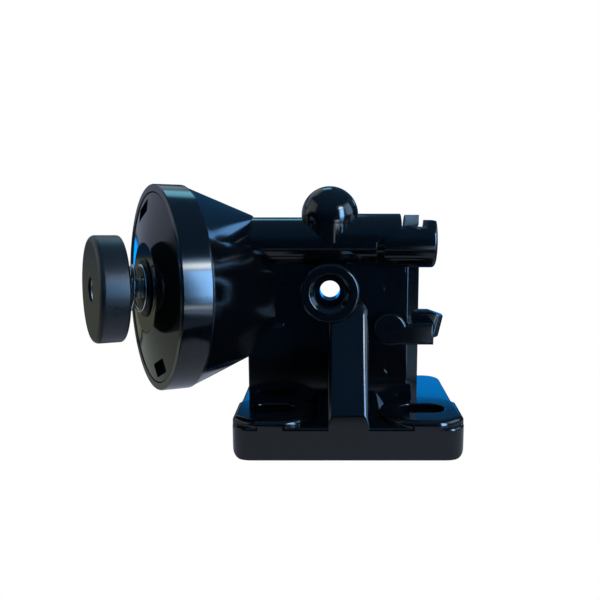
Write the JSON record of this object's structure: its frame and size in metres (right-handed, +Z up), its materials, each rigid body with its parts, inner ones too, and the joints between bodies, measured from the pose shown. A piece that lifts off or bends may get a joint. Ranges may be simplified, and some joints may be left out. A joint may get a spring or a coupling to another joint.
{
  "type": "bobbin case",
  "caption": "Bracket-mounted bell-shaped bobbin case with a cover disc, a bobbin on a stud inside, and a spring-loaded thumb knob that sets the bobbin's drag.",
  "frame": {"origin": "on the foot's underside, midway along its width and 27.5 mm behind its front edge", "axes": "+Z up from the foot, +X along the upright web away from the bell, -Y the side that the cross boss and the bolt pads face"},
  "size_m": [0.1138, 0.0809, 0.0804],
  "materials": {
    "enamel": "gloss",
    "brass": "satin",
    "steel": "satin",
    "insert_steel": "satin",
    "felt": "matte",
    "aluminium": "satin",
    "blackened": "satin",
    "spring_wire": "polished",
    "knob_plastic": "matte"
  },
  "bodies": {
    "housing": {"bracket": "enamel", "bell": "enamel", "stud_insert": "brass", "stud": "steel", "lock_washer": "steel", "jam_nut": "steel", "rear_felt": "felt", "front_felt": "felt", "pressure_plate": "steel", "cover_disc": "enamel", "spring_seat": "blackened", "spring": "spring_wire"},
    "bobbin": {"bobbin_flange_inner": "aluminium", "bobbin_core": "aluminium", "bobbin_flange_outer": "aluminium", "bobbin_bush_inner": "brass", "bobbin_bush_outer": "brass"},
    "knob_carriage": {"knob_washer": "steel"},
    "knob": {"knob": "knob_plastic", "knob_insert": "insert_steel"}
  },
  "joints": [
    {"name": "bobbin_spin", "type": "hinge", "parent": "housing", "child": "bobbin", "pos_m": [-0.057, -0.0216, 0.0505], "axis": [-0.8792, -0.4754, 0.0314], "continuous": true},
    {"name": "knob_advance", "type": "slide", "parent": "housing", "child": "knob_carriage", "axis": [0.8792, 0.4754, -0.0314], "range_m": [0, 0.0015], "deforming": ["spring"]},
    {"name": "knob_turn", "type": "hinge", "parent": "knob_carriage", "child": "knob", "pos_m": [-0.057, -0.0216, 0.0505], "axis": [0.8792, 0.4754, -0.0314], "range_deg": [0, 540]}
  ],
  "couplings": [
    {"joint": "knob_turn", "follows": "knob_advance", "rad_per_m": 6283.2}
  ]
}
